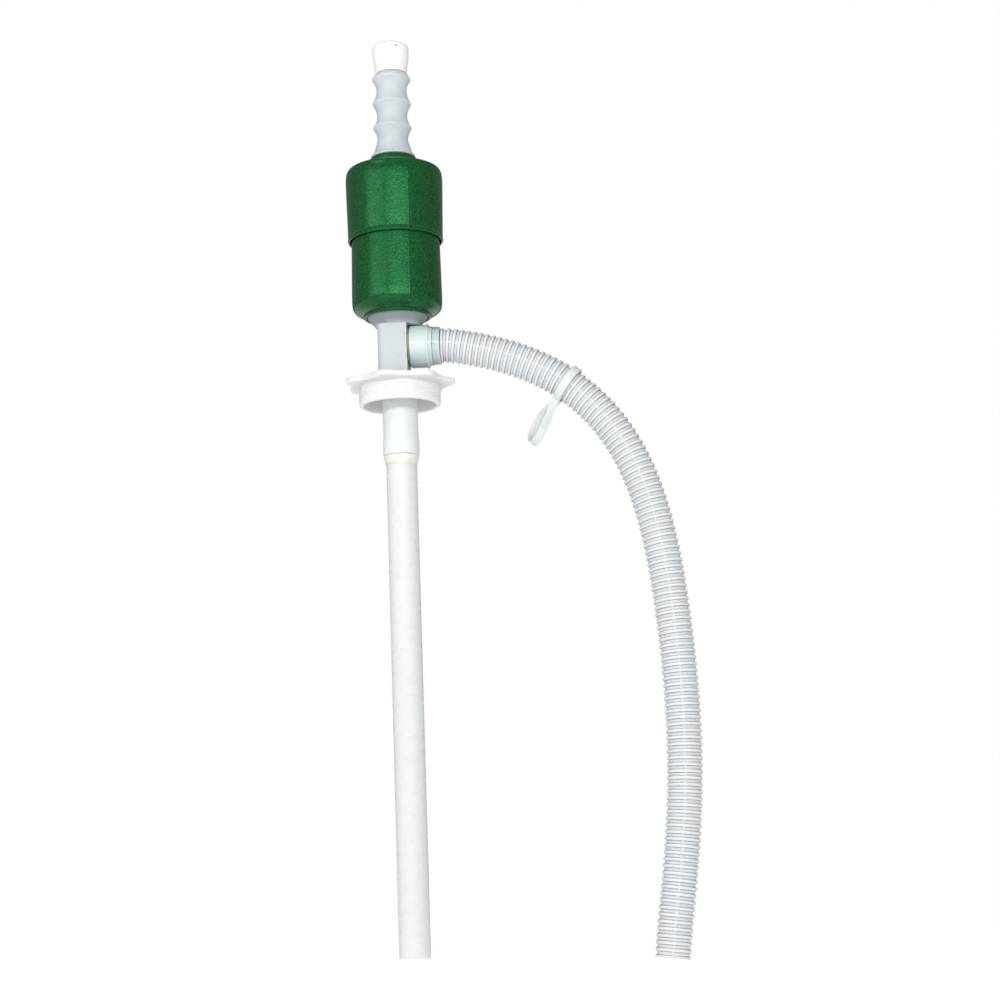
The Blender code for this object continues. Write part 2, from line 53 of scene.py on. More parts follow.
# Suction tube and the adhesive under its socket
TUBE_R = 0.0112
TUBE_BORE_R = 0.0097
TUBE_TOP = -0.0243
TUBE_LOW = -0.4140
SOCKET_LOW = -0.0526
SOCKET_MOUTH_R = 0.0130
BOND_LOW = -0.0610

# Outlet: heights in the collar's and the cuff's profiles run along +X from the body's flat face
FACE_X = 0.0074
SPOUT_Z = 0.0290
PORT_R = 0.0092
COLLAR_R = 0.0158
COLLAR_BORE_R = 0.0138
RIM_R = 0.0166
CUFF_R = 0.0141
CUFF_START = 0.0184
CUFF_END = 0.0238

# Hose and its hanger
HOSE_R = 0.01275
HOSE_BORE_R = 0.0102
HOSE_GROOVE = 0.0012            # depth of the corrugations
HOSE_PITCHES = (0.0045, 0.00485)  # from one ridge to the next, at the cuff and at the open end
HOSE_ROUTE = [                  # centreline, (x, z), from the cuff to the open end
    (0.0315, 0.0290), (0.0560, 0.0251), (0.0795, 0.0183), (0.1021, 0.0086),
    (0.1232, -0.0047), (0.1432, -0.0232), (0.1592, -0.0451), (0.1711, -0.0694),
    (0.1796, -0.0952), (0.1854, -0.1218), (0.1894, -0.1488), (0.1922, -0.1758),
    (0.1943, -0.2029), (0.1956, -0.2300), (0.1961, -0.2572), (0.1956, -0.2844),
    (0.1941, -0.3116), (0.1915, -0.3386), (0.1881, -0.3656), (0.1842, -0.3925),
    (0.1808, -0.4195),
]
WEB_HALF_WIDTH = 0.0012         # the mould's web along the front and back of the hose
HANGER_POINT = 4                # the hanger sits on this point of the route
HANGER_HALF_WIDTH = 0.0030
HANGER_BAND = 0.0015            # thickness of the strap
HANGER_EDGE = 0.0004            # rounding of its edges
HANGER_WAIST = 0.0034           # half width where the loop leaves the band
LOOP_DROP = 0.0030              # from the band down to the top of the loop's hole
LOOP_TIP = 0.0510               # from the hose's centreline to the tip of the hanging loop
LOOP_TIP_R = 0.0105
LOOP_TWIST = radians(25)        # the soft loop hangs a little twisted and bent
LOOP_BEND = 0.0047

# Bulb
UPPER_BORE_R = 0.0340
LOWER_BORE_R = 0.0308
LOWER_TOP = 0.1180
PARTING_ANGLE = radians(-68)    # the cups' mould line, and another opposite

# Grip and vent cap
SPIGOT_R = 0.0097
GRIP_RIDGES = [0.1982, 0.2171, 0.2362]
GRIP_VALLEYS = [0.1883, 0.2075, 0.2279]
GRIP_RIDGE_R = 0.0144
GRIP_VALLEY_R = 0.0115
GRIP_BORE_R = 0.0080
GRIP_SEAM = radians(-86)
NECK_MOUTH = 0.2606
CAP_LOW = 0.2408
CAP_TOP = 0.2654
CAP_R = 0.0137
VENT_ANGLE = radians(-67)
VENT_Z = 0.2590

# Light and floor
LAMPS_FACE = (0.03, 0.0, 0.05)
LAMP_DISTANCE = 2.4
AMBIENT_FRONT = 0.76            # how strongly the white surroundings light the pump
AMBIENT_BACK = 0.22
AMBIENT_SPAN = (-0.9, 0.3)      # between these Y of a direction, the front's level turns to the back's
FLOOR_Z = -0.4222
FLOOR_HALF = 6.0
FLOOR_LIT = 0.5                 # the floor's glow on the pump
FLOOR_SEEN = 0.7                # and in the plain view

CORNER_CUT = 0.0003             # rounding of a profile's corner that names none
GLOSS_SPREAD = 0.06             # how far a plastic's roughness wanders to either side

# Sockets of a Mix node that mixes colours
MIX_FIRST = 6
MIX_SECOND = 7
MIX_RESULT = 2


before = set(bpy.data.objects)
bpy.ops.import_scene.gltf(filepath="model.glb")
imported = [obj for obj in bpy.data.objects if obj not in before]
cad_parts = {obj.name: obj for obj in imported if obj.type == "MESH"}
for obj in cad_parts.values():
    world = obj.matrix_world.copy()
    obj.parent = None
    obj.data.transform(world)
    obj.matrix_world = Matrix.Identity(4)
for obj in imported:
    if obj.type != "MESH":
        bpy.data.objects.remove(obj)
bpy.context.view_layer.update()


# ---------------------------------------------------------------- camera, light and floor

def make_camera():
    data = bpy.data.cameras.new("view")
    data.lens = CAMERA_LENS
    data.clip_start = 0.01
    camera = bpy.data.objects.new("view", data)
    bpy.context.scene.collection.objects.link(camera)
    ahead = Vector((
        -sin(CAMERA_TURN) * cos(CAMERA_PITCH),
        cos(CAMERA_TURN) * cos(CAMERA_PITCH),
        sin(CAMERA_PITCH),
    ))
    camera.location = CAMERA_PLACE
    camera.rotation_mode = "QUATERNION"
    level = ahead.to_track_quat("-Z", "Y")
    camera.rotation_quaternion = level @ Quaternion((0, 0, 1), -CAMERA_ROLL)
    bpy.context.scene.camera = camera


def add_lamp(data, azimuth, elevation):
    """Turn a lamp to the bulb. Azimuth 0 is straight in front, positive towards +X."""
    out = Vector((sin(azimuth) * cos(elevation), -cos(azimuth) * cos(elevation), sin(elevation)))
    lamp = bpy.data.objects.new(data.name, data)
    lamp.location = Vector(LAMPS_FACE) + out * LAMP_DISTANCE
    lamp.rotation_mode = "QUATERNION"
    lamp.rotation_quaternion = out.to_track_quat("Z", "Y")
    bpy.context.scene.collection.objects.link(lamp)


def softbox(name, azimuth, elevation, width, height, power):
    data = bpy.data.lights.new(name, "AREA")
    data.shape = "RECTANGLE"
    data.size = width
    data.size_y = height
    data.energy = power
    add_lamp(data, azimuth, elevation)


def sun(azimuth, elevation, strength, softness):
    """Broad light from far away."""
    data = bpy.data.lights.new("sun", "SUN")
    data.energy = strength
    data.angle = softness
    add_lamp(data, azimuth, elevation)


def seen_level(tree, lit, seen, socket):
    """Set a strength to lit where its light reaches the pump, and to seen in the plain view."""
    path = tree.nodes.new("ShaderNodeLightPath")
    level = tree.nodes.new("ShaderNodeMapRange")
    level.inputs["To Min"].default_value = lit
    level.inputs["To Max"].default_value = seen
    tree.links.new(path.outputs["Is Camera Ray"], level.inputs["Value"])
    tree.links.new(level.outputs["Result"], socket)
    return level


def make_world():
    """White all round, with more light from the front than from behind."""
    world = bpy.data.worlds.new("studio")
    world.use_nodes = True
    bpy.context.scene.world = world
    nodes, links = world.node_tree.nodes, world.node_tree.links
    direction = nodes.new("ShaderNodeSeparateXYZ")
    links.new(nodes.new("ShaderNodeTexCoord").outputs["Generated"], direction.inputs["Vector"])
    surround = nodes.new("ShaderNodeMapRange")
    surround.inputs["From Min"].default_value = AMBIENT_SPAN[0]
    surround.inputs["From Max"].default_value = AMBIENT_SPAN[1]
    surround.inputs["To Min"].default_value = AMBIENT_FRONT
    surround.inputs["To Max"].default_value = AMBIENT_BACK
    links.new(direction.outputs["Y"], surround.inputs["Value"])
    back = nodes["Background"]
    back.inputs["Color"].default_value = (1.0, 1.0, 1.0, 1.0)
    level = seen_level(world.node_tree, 0.0, 1.0, back.inputs["Strength"])
    links.new(surround.outputs["Result"], level.inputs["To Min"])


def make_floor():
    """Pale paper floor, lit up so that it meets the white surroundings without a horizon."""
    mesh = bpy.data.meshes.new("studio_floor")
    corners = [(x * FLOOR_HALF, y * FLOOR_HALF, FLOOR_Z)
               for x, y in ((-1, -1), (1, -1), (1, 1), (-1, 1))]
    mesh.from_pydata(corners, [], [(0, 1, 2, 3)])
    floor = bpy.data.objects.new("studio_floor", mesh)
    paper = plastic("floor_paper", (0.82, 0.82, 0.82), grain=0.01, roughness=0.9, subsurface=0.0)
    shader = paper.node_tree.nodes["Principled BSDF"]
    shader.inputs["Emission Color"].default_value = (1.0, 1.0, 1.0, 1.0)
    seen_level(paper.node_tree, FLOOR_LIT, FLOOR_SEEN, shader.inputs["Emission Strength"])
    mesh.materials.append(paper)
    bpy.context.scene.collection.objects.link(floor)


# ---------------------------------------------------------------- materials

def plastic(name, colour, grain=0.03, grain_scale=900.0, cloud=0.02, cloud_scale=60.0,
            roughness=0.35, bump=0.05, bump_scale=1400.0, subsurface=0.3, scatter=0.003,
            tint=(1.0, 1.0, 1.0), groove=None, groove_shade_colour=None, coat=0.0, gloss=0.5,
            gloss_tint=(1.0, 1.0, 1.0), tones=None):
    """Moulded plastic: fine grain and slow clouding in its colour, and a pebbled skin.

    tint colours the clouding, and gloss_tint the shine.
    groove names a mesh attribute, 0 to 1, that turns the colour towards the given dark colour, as
    painted shade.
    tones is a list of (height, colour) that the colour is multiplied by, lowest first.
    """
    mat = bpy.data.materials.new(name)
    mat.use_nodes = True
    nodes, links = mat.node_tree.nodes, mat.node_tree.links
    shader = nodes["Principled BSDF"]
    place = nodes.new("ShaderNodeTexCoord").outputs["Object"]

    def noise(scale, detail):
        node = nodes.new("ShaderNodeTexNoise")
        node.inputs["Scale"].default_value = scale
        node.inputs["Detail"].default_value = detail
        links.new(place, node.inputs["Vector"])
        return node.outputs["Fac"]

    def spread(value, low, high):
        node = nodes.new("ShaderNodeMapRange")
        node.inputs["From Min"].default_value = 0.3
        node.inputs["From Max"].default_value = 0.7
        node.inputs["To Min"].default_value = low
        node.inputs["To Max"].default_value = high
        links.new(value, node.inputs["Value"])
        return node.outputs["Result"]

    def feed(socket, value):
        """Link a socket to another, or set it to a plain value."""
        if isinstance(value, bpy.types.NodeSocket):
            links.new(value, socket)
        else:
            socket.default_value = value

    def blend(factor, first, second, blend_type="MIX"):
        node = nodes.new("ShaderNodeMix")
        node.data_type = "RGBA"
        node.blend_type = blend_type
        feed(node.inputs["Factor"], factor)
        feed(node.inputs[MIX_FIRST], first)
        feed(node.inputs[MIX_SECOND], second)
        return node.outputs[MIX_RESULT]

    def shifted(amount):
        return [min(1.0, c * (1 + amount)) for c in colour]

    def tone_at_height():
        low, high = tones[0][0], tones[-1][0]
        height = nodes.new("ShaderNodeSeparateXYZ")
        links.new(place, height.inputs["Vector"])
        share = nodes.new("ShaderNodeMapRange")
        share.inputs["From Min"].default_value = low
        share.inputs["From Max"].default_value = high
        links.new(height.outputs["Z"], share.inputs["Value"])
        node = nodes.new("ShaderNodeValToRGB")
        stops = node.color_ramp.elements
        for level, _ in tones[1:-1]:
            stops.new((level - low) / (high - low))
        for stop, (_, tone) in zip(stops, tones):
            stop.color = (*tone, 1.0)
        links.new(share.outputs["Result"], node.inputs["Fac"])
        return node.outputs["Color"]

    fine = blend(spread(noise(grain_scale, 2.0), 0.0, 1.0), (*shifted(-grain), 1.0),
                 (*shifted(grain), 1.0))
    cloudy = [c * t for c, t in zip(shifted(-2 * cloud), tint)]
    result = blend(spread(noise(cloud_scale, 3.0), 0.0, 0.5), fine, (*cloudy, 1.0))
    if tones:
        result = blend(1.0, result, tone_at_height(), "MULTIPLY")
    # Painted shade: the attribute darkens the colour where shade falls, as in a hose's grooves.
    if groove:
        depth = nodes.new("ShaderNodeAttribute")
        depth.attribute_name = groove
        result = blend(depth.outputs["Fac"], result, (*groove_shade_colour, 1.0))
    links.new(result, shader.inputs["Base Color"])
    dullness = spread(noise(cloud_scale * 3, 2.0), roughness - GLOSS_SPREAD,
                      roughness + GLOSS_SPREAD)
    links.new(dullness, shader.inputs["Roughness"])
    if bump:
        skin = nodes.new("ShaderNodeBump")
        skin.inputs["Strength"].default_value = bump
        skin.inputs["Distance"].default_value = 0.0003
        links.new(noise(bump_scale, 2.0), skin.inputs["Height"])
        links.new(skin.outputs["Normal"], shader.inputs["Normal"])
    shader.inputs["Subsurface Weight"].default_value = subsurface
    shader.inputs["Subsurface Scale"].default_value = scatter
    shader.inputs["Subsurface Radius"].default_value = (1.0, 1.0, 1.0)
    shader.inputs["Coat Weight"].default_value = coat
    shader.inputs["Specular IOR Level"].default_value = gloss
    shader.inputs["Specular Tint"].default_value = (*gloss_tint, 1.0)
    return mat


def steel(name):
    """Bright metal, with the plastics' faint grain."""
    mat = plastic(name, (0.55, 0.56, 0.58), roughness=0.25, subsurface=0.0, bump=0.02)
    mat.node_tree.nodes["Principled BSDF"].inputs["Metallic"].default_value = 1.0
    return mat


# ---------------------------------------------------------------- mesh helpers

def piece(name, verts, faces, mat, body, nodes, merge=True):
    """Make a smooth-shaded mesh, attach it to what it moves with, hide the CAD parts it stands in for,
    and give it its material.

    merge joins the points that coincide, as on a lathe's axis.
    """
    mesh = bpy.data.meshes.new(name)
    mesh.from_pydata([tuple(v) for v in verts], [], faces)
    bm = bmesh.new()
    bm.from_mesh(mesh)
    if merge:
        bmesh.ops.remove_doubles(bm, verts=bm.verts, dist=0.000001)
    bmesh.ops.recalc_face_normals(bm, faces=bm.faces)
    bm.to_mesh(mesh)
    bm.free()
    mesh.shade_smooth()
    mesh.materials.append(mat)
    obj = bpy.data.objects.new(name, mesh)
    bpy.context.scene.collection.objects.link(obj)
    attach(obj, body)
    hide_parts(*nodes)
    return obj


def grid_faces(rows, columns, wrap_rows):
    """Quads between rings of points; the columns always close round."""
    faces = []
    for i in range(rows if wrap_rows else rows - 1):
        below = (i + 1) % rows
        for j in range(columns):
            k = (j + 1) % columns
            faces.append((i * columns + j, i * columns + k, below * columns + k,
                          below * columns + j))
    return faces


def soften(profile):
    """Round the corners of a (radius, height[, cut]) profile."""
    steps = 3
    softened = []
    count = len(profile)
    for i, corner in enumerate(profile):
        here = Vector(corner[:2])
        if here.x == 0.0:
            softened.append(here)
            continue
        size = corner[2] if len(corner) > 2 else CORNER_CUT
        before = Vector(profile[i - 1][:2]) - here
        after = Vector(profile[(i + 1) % count][:2]) - here
        start = here + before.normalized() * min(size, before.length * 0.45)
        end = here + after.normalized() * min(size, after.length * 0.45)
        for k in range(steps + 1):
            t = k / steps
            softened.append(start.lerp(here, t).lerp(here.lerp(end, t), t))
    return softened


def fill_flats(points, closed, step):
    """Put rings close to both ends of each long stretch, and about one step apart between."""
    margin = 0.0003
    filled = []
    ends = points[1:] + points[:1] if closed else points[1:]
    for a, b in zip(points, ends):
        filled.append(a)
        run = b - a
        if run.length < 5 * margin:
            continue
        edge = run.normalized() * margin
        count = max(1, int(run.length / step))
        inner_a, inner_b = a + edge, b - edge
        filled += [inner_a.lerp(inner_b, i / count) for i in range(count + 1)]
    if not closed:
        filled.append(points[-1])
    return filled


def columns_round(count, *features):
    """Angles round a full turn, closer together at each feature's (angle, half width)."""
    least_gap = 0.003
    angles = list(np.linspace(0.0, 2 * pi, count, endpoint=False))
    for centre, half in features:
        angles += [(centre + half * t) % (2 * pi) for t in np.linspace(-1.2, 1.2, 11)]
    angles.sort()
    kept = [angles[0]]
    for angle in angles[1:]:
        if angle - kept[-1] > least_gap:
            kept.append(angle)
    return np.array(kept)


def lathe(name, profile, angles, mat, body, nodes, shape=None, place=None, step=1.0):
    """Turn a profile about Z; shape(radius, height, angle) may change it from place to place.

    A profile that starts on the axis ends on it too; any other one closes into a ring.
    """
    closed = profile[0][0] > 0.0
    ring = fill_flats(soften(profile), closed, step)
    radius = np.repeat(np.array([p.x for p in ring])[:, None], len(angles), 1)
    height = np.repeat(np.array([p.y for p in ring])[:, None], len(angles), 1)
    angle = np.repeat(angles[None, :], len(ring), 0)
    if shape:
        radius, height = shape(radius, height, angle)
    points = np.stack([radius * np.cos(angle), radius * np.sin(angle), height], -1)
    points = points.reshape(-1, 3)
    if place:
        rotation = np.array(place.to_3x3())
        points = points @ rotation.T + np.array(place.translation)
    return piece(name, points, grid_faces(len(ring), len(angles), closed), mat, body, nodes)


def away(angle, centre):
    """Signed angle from centre, between -pi and pi."""
    return (angle - centre + pi) % (2 * pi) - pi


def hump(distance, half_width):
    """1 on the line, falling smoothly to 0 at half_width from it."""
    t = np.clip(1 - np.abs(distance) / half_width, 0, 1)
    return t * t * (3 - 2 * t)


def ramp(value, start, end):
    """0 before start, 1 after end, smooth between."""
    t = np.clip((value - start) / (end - start), 0, 1)
    return t * t * (3 - 2 * t)


ALONG_SPOUT = Matrix.Translation((FACE_X, 0.0, SPOUT_Z)) @ Matrix.Rotation(pi / 2, 4, "Y")


# ---------------------------------------------------------------- hose and hanger

def hose_line(samples):
    """A smooth curve through the route, leaving the cuff along the spout."""
    route = [Vector((x, 0.0, z)) for x, z in HOSE_ROUTE]
    first = (route[1] - route[0]).length
    before = route[1] - Vector((2 * first, 0.0, 0.0))
    after = 2 * route[-1] - route[-2]
    knots = [before, *route, after]
    points = []
    for a, b, c, d in zip(knots, knots[1:], knots[2:], knots[3:]):
        for i in range(samples):
            t = i / samples
            points.append(0.5 * (2 * b + (c - a) * t + (2 * a - 5 * b + 4 * c - d) * t ** 2
                                 + (3 * b - a - 3 * c + d) * t ** 3))
    points.append(route[-1])
    return points


def corrugation_rings(length):
    """Distance along the hose, depth share and share of painted shade on the flanks, for every ring of
    the hose's skin.

    Each row of wave places one ring of a corrugation: its phase, depth share and share of painted
    shade on the flanks.
    """
    ends_clear = 0.0002
    wave = [(0.02, 0.10, 0.15), (0.07, 0.0, 0.0), (0.33, 0.0, 0.0), (0.38, 0.10, 0.15),
            (0.445, 0.5, 1.0), (0.51, 0.9, 0.4), (0.56, 1.0, 0.0), (0.84, 1.0, 0.0),
            (0.89, 0.9, 0.4), (0.955, 0.5, 1.0)]
    rings = [(0.0, 0.6, 0.5)]
    start = 0.0
    while start < length:
        share = start / length
        pitch = HOSE_PITCHES[0] + (HOSE_PITCHES[1] - HOSE_PITCHES[0]) * share
        for phase, depth, flank_shade in wave:
            place = start + pitch * phase
            if ends_clear < place < length - ends_clear:
                rings.append((place, depth, flank_shade))
        start += pitch
    rings.append((length, 0.4, 0.4))
    return np.array(rings)


def discharge_hose(mat):
    """Thin-walled corrugated hose, open at its end, with a mould web along front and back; painted
    shade darkens its corrugations' flanks and its bore.
    """
    line = np.array([tuple(p) for p in hose_line(12)])
    runs = np.linalg.norm(np.diff(line, axis=0), axis=1)
    travelled = np.concatenate([[0.0], np.cumsum(runs)])
    length = travelled[-1]
    rings = corrugation_rings(length)
    webs = (radians(90), radians(270))
    web_angle = WEB_HALF_WIDTH / HOSE_R
    bore_step = 0.0045
    bore_shade = 0.35
    angles = columns_round(44, *[(web, web_angle) for web in webs])

    def centre_at(distance):
        return np.stack([np.interp(distance, travelled, line[:, k]) for k in range(3)], -1)

    def skin(distances, radii):
        reach = 0.001
        centre = centre_at(distances)
        ahead = centre_at(distances + reach) - centre_at(distances - reach)
        ahead /= np.linalg.norm(ahead, axis=1)[:, None]
        across = np.array([0.0, -1.0, 0.0])
        outward = np.cross(across, ahead)
        spoke = (np.cos(angles)[None, :, None] * outward[:, None, :]
                 + np.sin(angles)[None, :, None] * across[None, None, :])
        return centre[:, None, :] + radii[:, :, None] * spoke

    # The webs fill the grooves more in some places along the hose than in others.
    web = sum(hump(away(angles, w), web_angle * 1.2) for w in webs)
    uneven = 0.6 + 0.25 * np.sin(rings[:, 0] * 310.0) * np.sin(rings[:, 0] * 1270.0)
    filled = uneven[:, None] * web[None, :]
    depth = rings[:, 1][:, None] * (1 - filled)
    outer = skin(rings[:, 0], HOSE_R - HOSE_GROOVE * depth)
    inside = np.arange(length, 0.0, -bore_step)
    inside = np.append(inside, 0.0)
    inner = skin(inside, np.full((len(inside), len(angles)), HOSE_BORE_R))
    points = np.concatenate([outer, inner]).reshape(-1, 3)
    faces = grid_faces(len(outer) + len(inner), len(angles), True)
    hose = piece("corrugated_hose", points, faces, mat, "pump", ["discharge_hose"],
                 merge=False)
    # Painted shade: how far each point's colour is darkened, on the corrugations' flanks and all
    # through the bore.
    flank_shade = rings[:, 2][:, None] * (1 - filled)
    shade = np.concatenate([flank_shade, np.full((len(inner), len(angles)), bore_shade)])
    values = hose.data.attributes.new("flank_shade", "FLOAT", "POINT")
    values.data.foreach_set("value", shade.astype(np.float32).ravel())


def arc(centre, radius, start, end, count):
    """Points round a centre from the start angle to the end angle, both ends included."""
    return [(centre[0] + radius * cos(start + (end - start) * i / count),
             centre[1] + radius * sin(start + (end - start) * i / count))
            for i in range(count + 1)]


def between(start, end):
    """Points on the straight line from start to end, without its ends."""
    count = 14
    return [(start[0] + (end[0] - start[0]) * i / count,
             start[1] + (end[1] - start[1]) * i / count) for i in range(1, count)]


def strap_edge(band_r, waist, tip_r, tip_y):
    """Half of the strap's outline, drawn down from the band's top to the loop's tip.

    tip_y is how far the centre of the tip's rounding lies below the hose's centreline.
    """
    lean = asin((tip_r - waist) / (tip_y - band_r))
    band = arc((0.0, 0.0), band_r, pi / 2, atan2(-band_r, waist), 28)
    tip = arc((0.0, -tip_y), tip_r, lean, -pi / 2, 16)
    return band + between(band[-1], tip[0]) + tip


def mirrored(half):
    """A closed outline from its right-hand half, whose two ends lie on the middle line."""
    return half + [(-x, y) for x, y in reversed(half[1:-1])]


def hose_hanger(mat):
    """Soft strap round the hose with a teardrop loop under it, round along its edges.

    The loop twists close below the band, and bends more and more towards its tip.
    """
    inner_r = HOSE_R + 0.0003
    outer_r = inner_r + HANGER_BAND
    tip_y = LOOP_TIP - LOOP_TIP_R
    loop_top = (0.0, -(outer_r + LOOP_DROP))
    hole_tip = arc((0.0, -tip_y), LOOP_TIP_R - HANGER_BAND, radians(12), -pi / 2, 16)
    loops = [
        mirrored(strap_edge(outer_r, HANGER_WAIST, LOOP_TIP_R, tip_y)),
        arc((0.0, 0.0), inner_r, 0.0, 2 * pi, 72)[:-1],
        mirrored([loop_top] + between(loop_top, hole_tip[0]) + hole_tip),
    ]
    curve = bpy.data.curves.new("hanger_strap", "CURVE")
    curve.dimensions = "2D"
    curve.fill_mode = "BOTH"
    curve.extrude = HANGER_HALF_WIDTH - HANGER_EDGE
    curve.bevel_depth = HANGER_EDGE
    curve.bevel_resolution = 2
    curve.offset = -HANGER_EDGE
    for loop in loops:
        spline = curve.splines.new("POLY")
        spline.points.add(len(loop) - 1)
        for point, (x, y) in zip(spline.points, loop):
            point.co = (x, y, 0.0, 1.0)
        spline.use_cyclic_u = True
    drawn = bpy.data.objects.new("hanger_curve", curve)
    bpy.context.scene.collection.objects.link(drawn)
    bpy.context.view_layer.update()
    mesh = bpy.data.meshes.new_from_object(
        drawn.evaluated_get(bpy.context.evaluated_depsgraph_get()))
    bpy.data.objects.remove(drawn)
    for vertex in mesh.vertices:
        x, y, z = vertex.co
        below = max(0.0, -y - outer_r) / (LOOP_TIP - outer_r)
        twist = LOOP_TWIST * min(1.0, 3 * below)
        vertex.co.x = x * cos(twist) + z * sin(twist)
        vertex.co.z = z * cos(twist) - x * sin(twist) + LOOP_BEND * below ** 2
    ahead = Vector((*HOSE_ROUTE[HANGER_POINT + 1], 0.0))
    behind = Vector((*HOSE_ROUTE[HANGER_POINT - 1], 0.0))
    run = ahead - behind
    along = Vector((run.x, 0.0, run.y)).normalized()
    up = Vector((-along.z, 0.0, along.x))
    across = up.cross(along)
    seat = (HOSE_ROUTE[HANGER_POINT][0], 0.0, HOSE_ROUTE[HANGER_POINT][1])
    mesh.transform(Matrix.Translation(seat) @ Matrix((across, up, along)).transposed().to_4x4())
    verts = [tuple(v.co) for v in mesh.vertices]
    faces = [tuple(p.vertices) for p in mesh.polygons]
    strap = piece("hanger_strap", verts, faces, mat, "hose_hanger", ["hose_hanger"])
    strap.data.set_sharp_from_angle(angle=radians(40))
    return strap


# ---------------------------------------------------------------- bung adapter

def bung_adapter(mat):
    """Lobed flange over a helically threaded skirt, hollow underneath."""
    thread_start = -0.0010
    thread_end = SKIRT_LOW + 0.0010
    profile = [
        (STEM_HOLE_R, FLANGE_TOP), (FLANGE_LOBE_R, FLANGE_TOP, 0.0010),
        (FLANGE_LOBE_R, 0.0, 0.0010), (SHOULDER_R, 0.0, 0.0003),
        (SHOULDER_R, thread_start + 0.0002, 0.0001), (THREAD_ROOT_R, thread_start, 0.0001),
        (THREAD_ROOT_R, thread_end, 0.0001), (THREAD_ROOT_R - 0.0015, SKIRT_LOW),
        (SKIRT_BORE_R, SKIRT_LOW), (SKIRT_BORE_R, 0.0, 0.0010), (STEM_HOLE_R, 0.0),
    ]

    def shape(radius, height, angle):
        swell = (0.5 + 0.5 * np.cos(FLANGE_LOBES * angle)) ** 1.5
        edge = FLANGE_VALLEY_R + (FLANGE_LOBE_R - FLANGE_VALLEY_R) * swell
        share = (radius - SHOULDER_R) / (FLANGE_LOBE_R - SHOULDER_R)
        lobed = np.where(share > 0, SHOULDER_R + (edge - SHOULDER_R) * share, radius)
        turns = (height / THREAD_PITCH + angle / (2 * pi)) % 1.0
        ridge = np.clip(1.5 - np.abs(2 * turns - 1) * 2.4, 0, 1)
        fade = ramp(-height, -thread_start, 0.0022) * ramp(height, thread_end, thread_end + 0.001)
        on_thread = np.abs(radius - THREAD_ROOT_R) < 0.00002
        crest = (THREAD_CREST_R - THREAD_ROOT_R) * ridge * fade
        return np.where(on_thread, radius + crest, lobed), height

    lathe("bung_adapter_moulding", profile, columns_round(168), mat, "bung_adapter",
          ["bung_adapter"], shape, step=0.00022)


# ---------------------------------------------------------------- tube, adhesive and outlet

def suction_tube(mat):
    """Straight pipe, square at both ends."""
    profile = [(TUBE_R, TUBE_TOP), (TUBE_R, TUBE_LOW), (TUBE_BORE_R, TUBE_LOW),
               (TUBE_BORE_R, TUBE_TOP)]
    lathe("suction_pipe", profile, columns_round(72), mat, "pump", ["suction_tube"],
          step=0.02)


def adhesive(mat):
    """Fillet of glue under the socket, with an uneven foot."""
    top = SOCKET_LOW - 0.0003
    inner_r = TUBE_R + 0.00015
    profile = [(SOCKET_MOUTH_R, top, 0.0002), (0.0124, -0.0562), (TUBE_R + 0.0005, BOND_LOW),
               (inner_r, BOND_LOW), (inner_r, top, 0.0001)]
    thinning = 0.00015
    creep = 0.0011

    def shape(radius, height, angle):
        share = (top - height) / (top - BOND_LOW)
        wander = 0.5 * np.sin(2 * angle + 0.7) + 0.3 * np.sin(5 * angle) + 0.2 * np.sin(9 * angle)
        outer = radius > TUBE_R + 0.0004
        radius = np.where(outer, radius - thinning * (1 + wander) * share, radius)
        return radius, height + creep * (1 + wander) * share ** 2

    lathe("adhesive_fillet", profile, columns_round(72), mat, "pump", ["tube_bond_ring"],
          shape, step=0.0006)


def outlet_collar(mat):
    """Round socket for the hose: a port in its floor, and a rim and a neck ring at its mouth."""
    profile = [
        (0.0146, 0.0181, 0.0004), (0.0146, 0.0153, 0.0002), (RIM_R, 0.0153, 0.0005),
        (RIM_R, 0.0140, 0.0004), (COLLAR_R, 0.0137, 0.0002), (COLLAR_R, 0.0022, 0.0006),
        (COLLAR_R - 0.0006, 0.0016), (PORT_R, 0.0016), (PORT_R, 0.0026),
        (COLLAR_BORE_R, 0.0026), (COLLAR_BORE_R, 0.0150), (0.0125, 0.0150), (0.0125, 0.0181),
    ]
    lathe("outlet_collar_moulding", profile, columns_round(96), mat, "pump", ["outlet_collar"],
          place=ALONG_SPOUT, step=0.002)


def hose_cuff(mat):
    """Smooth cuff over the hose's end, with a bead at the collar and a rolled outer edge."""
    profile = [
        (CUFF_R, CUFF_START, 0.0003), (CUFF_R, CUFF_START + 0.0012, 0.0002),
        (CUFF_R - 0.0003, CUFF_START + 0.0016, 0.0002), (CUFF_R, CUFF_START + 0.0022, 0.0003),
        (CUFF_R, CUFF_END, 0.0011), (HOSE_R - 0.0020, CUFF_END, 0.0003),
        (HOSE_R - 0.0020, CUFF_START),
    ]
    lathe("hose_cuff_moulding", profile, columns_round(96), mat, "pump", ["hose_cuff"],
          place=ALONG_SPOUT, step=0.002)


# ---------------------------------------------------------------- bulb

def mould_line(radius, angle, outer):
    """Raise two opposite mould lines on the points marked outer."""
    rise = 0.00013
    half_width = 0.0006
    for centre in (PARTING_ANGLE, PARTING_ANGLE + pi):
        line = hump(away(angle, centre) * radius, half_width)
        radius = radius + np.where(outer, rise * line, 0.0)
    return radius


def bulb_columns():
    """Columns for a cup, closer together at its two mould lines."""
    return columns_round(120, (PARTING_ANGLE, 0.025), (PARTING_ANGLE + pi, 0.025))


